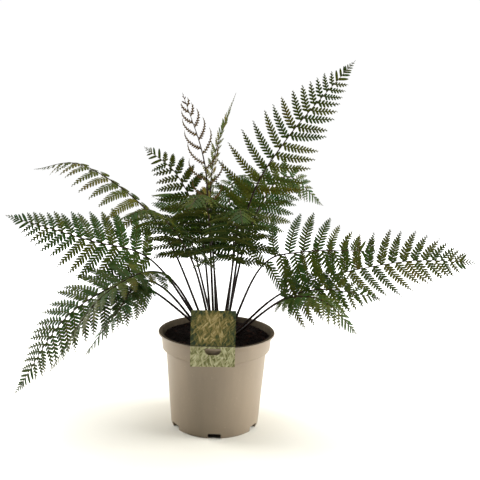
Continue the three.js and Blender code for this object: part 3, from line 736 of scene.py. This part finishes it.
def make_label():
    """The card is a cut plate with eased corners, and its flap a strip led back over the
    rim and down inside it."""
    deselect()
    bpy.ops.mesh.primitive_cube_add(size=1)
    card = bpy.context.object
    card.name = "plant_label"
    height = LABEL_TOP_Z - LABEL_BOTTOM_Z
    middle_z = (LABEL_TOP_Z + LABEL_BOTTOM_Z) / 2
    fit(card, (LABEL_WIDTH, LABEL_THICKNESS, height),
        (LABEL_X, LABEL_FRONT_Y + LABEL_THICKNESS / 2, middle_z))
    half_thick = 0.5 * LABEL_THICKNESS * MM
    edit()
    pick(card, lambda e: abs(e.verts[0].co.y - e.verts[1].co.y) > half_thick, "edges")
    bpy.ops.mesh.bevel(offset=CARD_CORNER * MM, segments=4)
    leave_edit()

    cut_top = TONGUE_TOP_Z - LABEL_THICKNESS
    bpy.ops.mesh.primitive_cylinder_add(vertices=64, radius=1, depth=1)
    window = bpy.context.object
    for vertex in window.data.vertices:
        for k in (0, 1):
            vertex.co[k] = math.copysign(abs(vertex.co[k]) ** WINDOW_SQUARENESS, vertex.co[k])
    window.data.transform(Matrix.Rotation(math.pi / 2, 4, "X"))
    activate(window)
    edit()
    pick(window, lambda v: v.co.z > 0.001)
    stretch(1, 1, 0)
    leave_edit()
    fit(window, (TONGUE_WIDTH / 2, 10, TONGUE_CUT_DEPTH), (LABEL_X, LABEL_FRONT_Y, cut_top))
    tidy_shell(window, 1e-5)
    cut = card.modifiers.new("window", "BOOLEAN")
    cut.object = window
    cut.solver = "EXACT"
    apply_modifiers(card)
    bpy.data.objects.remove(window)

    # The flap: back over the rim in a small bend, then down
    run_y = TONGUE_REACH_Y - LABEL_THICKNESS / 2
    middle = TONGUE_TOP_Z - LABEL_THICKNESS / 2
    path = [(LABEL_FRONT_Y + LABEL_THICKNESS * 0.6, middle), (run_y - FLAP_BEND, middle)]
    path += [(run_y - FLAP_BEND + FLAP_BEND * math.sin(a), middle - FLAP_BEND * (1 - math.cos(a)))
             for a in np.radians((30, 60, 90))]
    path += [(run_y, (middle + TONGUE_END_Z) / 2), (run_y, TONGUE_END_Z)]
    widths = [1] * (len(path) - 1) + [0.72]
    half = TONGUE_WIDTH / 2
    points = [(LABEL_X + side * half * width, y, z)
              for (y, z), width in zip(path, widths) for side in (-1, 1)]
    faces = [(2 * i, 2 * i + 1, 2 * i + 3, 2 * i + 2) for i in range(len(path) - 1)]
    flap = from_arrays("flap", points, faces)
    thick = flap.modifiers.new("thickness", "SOLIDIFY")
    thick.thickness = LABEL_THICKNESS * MM
    thick.offset = 0
    apply_modifiers(flap)
    label = join("plant_label", [card, flap])
    tidy_shell(label, 0)
    smooth(label, 30)
    return label


# Spines

def spine_of(frond):
    """A smooth curve through root, knee, bend and tip, as in the solids: points of the
    stalk, points of the blade, and the blade's reach at each."""
    given = [np.array(p, float) for p in
             ((*frond["root"], ROOT_Z), frond["knee"], frond["bend"], frond["tip"])]
    ends = [2 * given[0] - given[1], *given, 2 * given[3] - given[2]]

    def at(t):
        i = min(int(t * 3), 2)
        s = t * 3 - i
        before, p, q, after = ends[i:i + 4]
        start, end = (q - before) / 2, (after - p) / 2
        return ((2 * p - 2 * q + start + end) * s ** 3
                + (3 * q - 3 * p - 2 * start - end) * s ** 2 + start * s + p)

    stalk = np.array([at(i / STALK_STEPS / 3) for i in range(STALK_STEPS + 1)])
    blade = np.array([at(1 / 3 + 2 / 3 * i / SPINE_STEPS) for i in range(SPINE_STEPS + 1)])
    reach = np.r_[0, np.cumsum(np.linalg.norm(np.diff(blade, axis=0), axis=1))]
    heading = math.atan2(given[3][1] - given[0][1], given[3][0] - given[0][0])
    return dict(stalk=stalk, blade=blade, reach=reach, length=reach[-1],
                level=np.array([-math.sin(heading), math.cos(heading), 0]),
                roll=math.radians(frond["roll"]))


def point_on(spine, share):
    wanted = min(max(share, 0), 1) * spine["length"]
    return np.array([np.interp(wanted, spine["reach"], spine["blade"][:, k]) for k in range(3)])


def unit(v):
    return v / np.linalg.norm(v, axis=-1, keepdims=True)


def frame_on(spine, share):
    """At a share of the blade: the point, and the directions along the spine, across the
    blade to its +1 side, and out of its upper face."""
    along = unit(point_on(spine, share + 0.012) - point_on(spine, share - 0.012))
    level = unit(spine["level"] - along * (spine["level"] @ along))
    upper = np.cross(along, level)
    across = level * math.cos(spine["roll"]) + upper * math.sin(spine["roll"])
    return point_on(spine, share), along, across, np.cross(along, across)


# Leaflets

def make_leaflet():
    """One leaflet, 1 long and 2 wide: a grid drawn in column by column to a blunt tip with
    shallow teeth, arched across, with an underside that shares its margin."""
    deselect()
    bpy.ops.mesh.primitive_grid_add(x_subdivisions=6, y_subdivisions=2, size=2)
    leaflet = bpy.context.object
    edit()
    select_mesh()
    bpy.ops.transform.translate(value=(1, 0, 0))
    stretch(0.5, 1, 1)
    widths = (0.82, 1.0, 0.94, 1.0, 0.9, 0.7, 0.22)
    for column, width in enumerate(widths):
        pick(leaflet, lambda v: abs(v.co.x - column / 6) < 0.04)
        stretch(1, width, 1)
    select_mesh()
    bpy.ops.mesh.duplicate()
    bpy.ops.mesh.flip_normals()
    shape = bmesh.from_edit_mesh(leaflet.data)
    for vertex in shape.verts:
        if abs(vertex.co.y) < 0.001 and 0 < vertex.co.x < 0.99:
            vertex.co.z = 0.06 if vertex.select else 0.3
    bmesh.update_edit_mesh(leaflet.data)
    select_mesh()
    bpy.ops.mesh.remove_doubles(threshold=0.001)
    leave_edit()
    return leaflet


def leaflet_arrays():
    leaflet = make_leaflet()
    points = np.array([v.co for v in leaflet.data.vertices])
    faces = np.array([f.vertices for f in leaflet.data.polygons])
    under = np.array([f.normal.z < 0 for f in leaflet.data.polygons], float)
    bpy.data.objects.remove(leaflet)
    return points, faces, under


def pinna_curve(frond, plan, frame_here):
    """Places, forward, fore and normal directions along a pinna, for an array of shares."""
    point, along, across, out = frame_here
    sideways = across * plan["side"] * math.cos(plan["lift"]) + out * math.sin(plan["lift"])
    start = along * math.cos(plan["angle"]) + sideways * math.sin(plan["angle"])
    bend = along * (SWEEP + plan["hook"]) - out * CURL - np.array([0, 0, frond["sag"]])
    hook = (along * 0.1 - sideways * 0.55) * plan["hook"]

    def at(v):
        v = np.asarray(v, float)[:, None]
        places = point + plan["length"] * (v * start + v * v * bend + v ** 6 * hook)
        forward = unit(start + 2 * v * bend + 6 * v ** 5 * hook)
        fore = unit(-plan["side"] * np.cross(out, forward))
        return places, forward, fore, plan["side"] * np.cross(fore, forward)

    return at


def leaflet_rows(plan):
    """Shares along a pinna where leaflet pairs stand, closer towards its tip."""
    shares, v = [], 2.6 / plan["length"]
    while v < 0.97:
        shares.append(v)
        v += plan["spacing"] * (1 - TIP_CROWDING * v) / plan["length"]
    return np.array(shares)


def add_leaflets(grown, *values):
    for key, value in zip(LEAFLET_KEYS, values):
        grown[key].append(value)


def grow_pinna(grown, frond, plan, frame_here):
    """One pinna: its rib and two rows of leaflets, or a single leaflet where it is short."""
    at = pinna_curve(frond, plan, frame_here)
    length = plan["length"]
    if length < plan["divided_from"]:
        places, forward, fore, normal = at([0, 0.2])
        add_leaflets(grown, places[:1], forward[1:], np.zeros((1, 3)), normal[:1],
                     np.array([length]), np.array([min(4.4, 0.6 + length * 0.24)]),
                     np.array([plan["tone"]]))
        return
    shares = leaflet_rows(plan)
    count = len(shares)
    depth = plan["depth"]
    fade = np.interp(shares, *LEAFLET_FADE)
    for row in (1, -1):
        v = shares if row > 0 else np.clip(shares + ROW_SHIFT * plan["spacing"] / length, 0, 0.99)
        places, forward, fore, normal = at(v)
        jitter = np.array([random.uniform(-1, 1) for _ in range(3 * count)]).reshape(3, count)
        lean = np.radians(LEAFLET_LEAN + (TIP_LEAN - LEAFLET_LEAN) * v + 4 * jitter[0])[:, None]
        direction = forward * np.cos(lean) + row * fore * np.sin(lean)
        twist = np.radians(9 * jitter[1])[:, None]
        normal = unit(normal * np.cos(twist) + np.cross(direction, normal) * np.sin(twist))
        lengths = depth * fade * (1 + 0.07 * jitter[2])
        gap = plan["spacing"] * (1 - TIP_CROWDING * v) * np.sin(lean[:, 0])
        widths = np.minimum(gap * plan["cover"], lengths * 0.6)
        tones = plan["tone"] + 0.1 * v + 0.03 * jitter[0]
        add_leaflets(grown, places, direction, forward, normal, lengths, widths, tones)
    grow_rib(grown, at, plan)


def grow_rib(grown, at, plan):
    """A pinna's rib: a flat four-sided strand that ends in a long drawn tip."""
    shares = np.linspace(0, 1, 11)
    places, forward, fore, normal = at(shares)
    half = np.interp(shares, *RIB_HALF_WIDTHS)[:, None]
    thick = np.interp(shares, (0, 1), (0.5, 0.12))[:, None]
    rings = np.stack([places + fore * half, places + normal * thick,
                      places - fore * half, places - normal * thick], axis=1)
    grown["ribs"].append(rings)
    grown["rib_tones"].append(plan["tone"])


def pinna_plans(frond, spine):
    """Where pinnae leave the spine, their lengths and angles, closer towards the tip."""
    young = frond.get("young", False)
    gap = frond.get("gap", PINNA_SPACING)
    tail = frond.get("tail", TAIL_SHARE)
    pairs = round(tail * spine["length"] / gap)
    lobes = round((1 - tail) * spine["length"] / LOBE_SPACING)
    for pair in range(pairs + lobes):
        for side, offset in ((1, 0.25), (-1, 0.6)):
            place = (pair + offset) / pairs
            if pair < pairs:
                share = tail * (1 - (1 - place) ** CROWDING)
            else:
                share = tail + (1 - tail) * (pair + offset - pairs) / lobes
            length = frond["width"] * (1 - share ** frond.get("full", FULLNESS))
            if pair >= pairs:
                length = min(length, SHORTEST_PINNA + TAIL_SLOPE * (1 - share) * spine["length"])
            length *= (LOWEST_SHARE if pair == 0 else 1) * random.uniform(0.94, 1.04)
            angle = frond.get("open", OPEN_ANGLE) - LEAN * share + random.uniform(-4, 4)
            lift = math.radians(random.uniform(-7, 7))
            rusty = (pair, side) in frond.get("rusty", ())
            tone = frond["tone"] + random.uniform(-TONE_SPREAD, TONE_SPREAD)
            if length > SHORTEST_PINNA:
                short = SHORT_PINNA_SHARE if length < SHORT_PINNA else 1
                yield dict(share=share, side=side, length=length, lift=lift,
                           angle=math.radians(angle), tone=tone + (RUSTY_TONE if rusty else 0),
                           depth=min(frond.get("leaflet", LEAFLET_LENGTH), 0.14 * length + 2),
                           spacing=frond.get("spacing", LEAFLET_SPACING) * short,
                           cover=frond.get("cover", LEAFLET_COVER),
                           hook=YOUNG_HOOK if young else 0,
                           divided_from=YOUNG_DIVIDED if young else SHORTEST_DIVIDED)


def make_blade(name, frond, spine, leaflet):
    """A frond's leaf tissue as one mesh: every leaflet and rib, with its tone, which faces
    are undersides, and a map along and across each leaflet."""
    points, faces, under = leaflet
    grown = {key: [] for key in (*LEAFLET_KEYS, "ribs", "rib_tones")}
    for plan in pinna_plans(frond, spine):
        grow_pinna(grown, frond, plan, frame_on(spine, plan["share"]))
    columns = [np.concatenate(grown[key]) for key in LEAFLET_KEYS]
    base, direction, forward, normal = (column[:, None, :] for column in columns[:4])
    length, width, tone = columns[4:]
    across = unit(np.cross(normal, direction))
    x, y, z = (points[None, :, k, None] for k in range(3))
    reach = length[:, None, None]
    half = width[:, None, None] / 2
    placed = (base + direction * (x * reach) + across * (y * half) + normal * (z * half * 0.5)
              + forward * (0.1 * reach * x * x) - normal * (0.1 * reach * x * x))
    count, each = len(length), len(points)
    leaf_faces = (faces[None] + each * np.arange(count)[:, None, None]).reshape(-1, 4)
    rings = np.array(grown["ribs"])
    rib_count, ring_count = rings.shape[:2]
    a, b = np.meshgrid(np.arange(ring_count - 1) * 4, np.arange(4), indexing="ij")
    strand = np.stack([a + b, a + (b + 1) % 4, a + 4 + (b + 1) % 4, a + 4 + b], -1).reshape(-1, 4)
    caps = [[3, 2, 1, 0], [4 * ring_count - 4 + k for k in range(4)]]
    strand = np.concatenate([strand, caps])
    start = count * each
    rib_starts = start + 4 * ring_count * np.arange(rib_count)[:, None, None]
    rib_faces = (strand[None] + rib_starts).reshape(-1, 4)
    blade = from_arrays(name, np.concatenate([placed.reshape(-1, 3), rings.reshape(-1, 3)]),
                        np.concatenate([leaf_faces, rib_faces]))
    mesh = blade.data
    rib_points = rib_count * ring_count * 4
    tones = np.r_[np.repeat(tone, each), np.repeat(grown["rib_tones"], ring_count * 4)]
    ribs = np.r_[np.zeros(start), np.full(rib_points, 0.7)]
    unders = np.r_[np.tile(under, count), np.zeros(len(rib_faces))]
    for key, values, domain in (("tone", tones, "POINT"), ("rib", ribs, "POINT"),
                                ("under", unders, "FACE")):
        attribute = mesh.attributes.new(key, "FLOAT", domain)
        attribute.data.foreach_set("value", values.astype(np.float32))
    leaf_map = points[faces][:, :, :2].reshape(-1, 2)
    loops = np.concatenate([np.tile(leaf_map, (count, 1)), np.zeros((len(rib_faces) * 4, 2))])
    mesh.uv_layers.new(name="leaflet").data.foreach_set("uv", loops.astype(np.float32).ravel())
    tidy_shell(blade, 0)
    smooth(blade, 50)
    return blade


def make_stalk(name, spine):
    """A stalk and the rachis it runs on into, as one tapering curve turned to a mesh."""
    stalk, blade = spine["stalk"], spine["blade"]
    sunk = stalk[0] - unit(stalk[1] - stalk[0]) * STALK_SUNK
    points = np.concatenate([[sunk], stalk, blade[1:]])
    reach = np.r_[0, np.cumsum(np.linalg.norm(np.diff(points, axis=0), axis=1))]
    share = reach / reach[-1]
    knee = share[len(stalk)]
    radii = np.interp(share, (0, 0.06, knee, 1),
                      (STALK_RADIUS * 1.3, STALK_RADIUS, KNEE_RADIUS, RACHIS_TIP_RADIUS))
    curve = bpy.data.curves.new(name, "CURVE")
    curve.dimensions = "3D"
    curve.bevel_depth = MM
    curve.bevel_resolution = 2
    curve.use_fill_caps = True
    line = curve.splines.new("POLY")
    line.points.add(len(points) - 1)
    for point, place, radius in zip(line.points, points * MM, radii):
        point.co = (*place, 1)
        point.radius = radius
    piece = new_object(name, curve)
    activate(piece)
    bpy.ops.object.convert(target="MESH")
    piece = bpy.context.object
    tidy_shell(piece)
    places = np.array([v.co for v in piece.data.vertices]) / MM
    nearest = np.argmin(np.linalg.norm(places[:, None] - points[None], axis=2), axis=1)
    shares = piece.data.attributes.new("share", "FLOAT", "POINT")
    shares.data.foreach_set("value", share[nearest].astype(np.float32))
    smooth(piece, 60)
    return piece


def make_crown(spines):
    """The crown: a knobbly mound in the compost with chaffy scales on it and on the feet
    of the stalks."""
    outline = [(0, CROWN_BOTTOM_Z), (20, CROWN_BOTTOM_Z), (30, CROWN_BOTTOM_Z + 6),
               (CROWN_RADIUS, CROWN_BOTTOM_Z + 14), (CROWN_RADIUS - 1, CROWN_TOP_Z - 13),
               (29, CROWN_TOP_Z - 8.5), (24, CROWN_TOP_Z - 5), (17, CROWN_TOP_Z - 2),
               (9, CROWN_TOP_Z), (0, CROWN_TOP_Z + 0.5)]
    mound = spin_outline("mound", outline, 48)
    activate(mound)
    edit()
    select_mesh()
    bpy.ops.mesh.subdivide(number_cuts=2)
    leave_edit()
    for vertex in mound.data.vertices:
        place = vertex.co / (9 * MM)
        radial = Vector((vertex.co.x, vertex.co.y, 0))
        if radial.length > 0:
            vertex.co -= radial.normalized() * 1.2 * MM * (1 + noise.noise(place))
        if vertex.co.z > (CROWN_TOP_Z - 16) * MM:
            vertex.co.z += 1.6 * MM * noise.noise(place * 1.4)
    mound.data.transform(Matrix.Translation((CROWN_PLACE[0] * MM, CROWN_PLACE[1] * MM, 0)))

    deselect()
    bpy.ops.mesh.primitive_grid_add(x_subdivisions=3, y_subdivisions=1, size=2)
    scale = bpy.context.object
    edit()
    for x, width in ((-1, 0.6), (-1 / 3, 1.0), (1 / 3, 0.6), (1, 0.08)):
        pick(scale, lambda v: abs(v.co.x - x) < 0.1)
        stretch(1, width, 1)
        bpy.ops.transform.translate(value=(0, 0, 0.25 * (x + 1) ** 2 / 4))
    leave_edit()
    thick = scale.modifiers.new("thickness", "SOLIDIFY")
    thick.thickness = 0.16
    apply_modifiers(scale)
    places = []
    for spine in spines:
        foot = spine["stalk"][0]
        rise = unit(spine["stalk"][1] - foot)
        side = unit(np.cross(rise, (0.3, 0.8, 0.2)))
        other = np.cross(rise, side)
        for _ in range(STALK_SCALES):
            angle = random.uniform(0, 2 * math.pi)
            outward = side * math.cos(angle) + other * math.sin(angle)
            up = random.random() ** 1.6 * SCALES_REACH
            place = foot + rise * up + outward * 1.5
            lean = unit(rise + outward * random.uniform(0.15, 0.55))
            across = unit(np.cross(outward, lean))
            size = random.uniform(1.4, 2.8)
            face = np.cross(lean, across)
            matrix = np.eye(4)
            matrix[:3, 0] = lean * size
            matrix[:3, 1] = across * size * SCALE_WIDTH
            matrix[:3, 2] = face * size * SCALE_WIDTH
            matrix[:3, 3] = place + lean * size * 0.8
            places.append(matrix)
    for _ in range(CROWN_SCALES):
        radius = 27 * math.sqrt(random.random())
        angle = random.uniform(0, 2 * math.pi)
        x = CROWN_PLACE[0] + radius * math.cos(angle)
        y = CROWN_PLACE[1] + radius * math.sin(angle)
        z = CROWN_TOP_Z - np.interp(radius, (0, 9, 17, 24, 29), (0, 0.5, 2.5, 5.5, 8.5))
        turn = Matrix.Rotation(random.uniform(0, 6.28), 4, "Z")
        tilt = Matrix.Rotation(-random.uniform(0.3, 1.3), 4, "Y")
        size = random.uniform(1.6, 3.4)
        grown = Matrix.Diagonal((size, size * SCALE_WIDTH, size * SCALE_WIDTH, 1))
        places.append(Matrix.Translation((x, y, z + size * 0.4)) @ turn @ tilt @ grown)
    chaff = from_arrays("chaff", *copies(scale, places))
    bpy.data.objects.remove(scale)
    crown = join("crown", [mound, chaff])
    tidy_shell(crown, 0)
    smooth(crown, 50)
    return crown


# Studio

def make_studio():
    deselect()
    bpy.ops.mesh.primitive_circle_add(vertices=96, radius=FLOOR_RADIUS, fill_type="NGON")
    floor = bpy.context.object
    floor.name = "studio_floor"
    floor.data.materials.append(studio_paper())

    world = bpy.data.worlds.new("soft_white")
    bpy.context.scene.world = world
    world.use_nodes = True
    world.node_tree.nodes.clear()
    tree = world.node_tree
    direction = add(tree, "TexCoord").outputs["Generated"]
    parts = add(tree, "SeparateXYZ", {"Vector": direction})
    walls = add(tree, "MapRange",
                {"Value": parts.outputs["Y"], "From Min": -0.7, "From Max": 0.3,
                 "To Min": DIM_SIDE, "To Max": BRIGHT_SIDE})
    rays = add(tree, "LightPath").outputs
    glossy = add(tree, "Math", {0: rays["Is Glossy Ray"], 1: -MIRRORED_LESS, 2: 1},
                 operation="MULTIPLY_ADD")
    lit = add(tree, "Math", {0: walls, 1: glossy}, operation="MULTIPLY")
    strength = add(tree, "Mix", {"Factor": rays["Is Camera Ray"], "A": lit, "B": SEEN_WHITE})
    sky = add(tree, "Background", {"Color": (1, 1, 1, 1), "Strength": strength})
    add(tree, "OutputWorld", {"Surface": sky})

    # Name, place and side in metres, and power in watts
    softboxes = [("softbox_left", (-1.6, 0.6, 0.8), 1.0, 40),
                 ("softbox_right", (1.6, -0.1, 0.8), 1.1, 48),
                 ("softbox_top", (0, 0.3, 3), 3, 112)]
    for name, place, size, power in softboxes:
        light = bpy.data.lights.new(name, "AREA")
        light.size = size
        light.energy = power
        lamp = new_object(name, light)
        lamp.location = place
        aim = Vector((0, 0, 0.25)) - Vector(place)
        lamp.rotation_euler = aim.to_track_quat("-Z", "Y").to_euler()


def make_camera():
    yaw, pitch, roll = (math.radians(a) for a in (YAW, PITCH, ROLL))
    level = math.cos(pitch)
    forward = Vector((math.sin(yaw) * level, math.cos(yaw) * level, -math.sin(pitch)))
    right = Vector((math.cos(yaw), -math.sin(yaw), 0))
    up = right.cross(forward)
    tilted_right = right * math.cos(roll) + up * math.sin(roll)
    tilted_up = up * math.cos(roll) - right * math.sin(roll)
    turn = Matrix((tilted_right, tilted_up, -forward)).transposed()
    data = bpy.data.cameras.new("photo_camera")
    data.sensor_width = SENSOR_WIDTH
    data.lens = SENSOR_WIDTH * FOCAL_PIXELS / PHOTO_SIDE
    data.clip_start, data.clip_end = 0.05, 50
    camera = new_object("photo_camera", data)
    camera.matrix_world = Matrix.Translation(Vector(EYE) * MM) @ turn.to_4x4()
    bpy.context.scene.camera = camera


make_camera()
make_studio()
bpy.context.scene.view_settings.view_transform = "Standard"

pot = make_pot()
dress(pot, moulded_polypropylene(), "pot_plastic", "pot")
paint_shade_inside(pot)
dress(make_compost(), peat_compost(), "compost", "soil")
dress(make_label(), printed_card(), "label_card", "label")

spines = [spine_of(frond) for frond in FRONDS]
stalk_finish = scaly_stalk()
dress(make_crown(spines), chaffy_crown(), "stalk", "rhizome")
leaflet = leaflet_arrays()
green_leaf = fern_leaf("green_fern_leaf")
bronze_leaf = fern_leaf("bronze_fern_leaf")
for number, (frond, spine) in enumerate(zip(FRONDS, spines), 1):
    young = frond.get("young", False)
    blade = make_blade(f"blade_{number:02d}", frond, spine, leaflet)
    dress(blade, bronze_leaf if young else green_leaf,
          "frond_bronze" if young else "frond_green", f"frond_{number:02d}")
    dress(make_stalk(f"stalk_{number:02d}", spine), stalk_finish, "stalk", "rhizome")
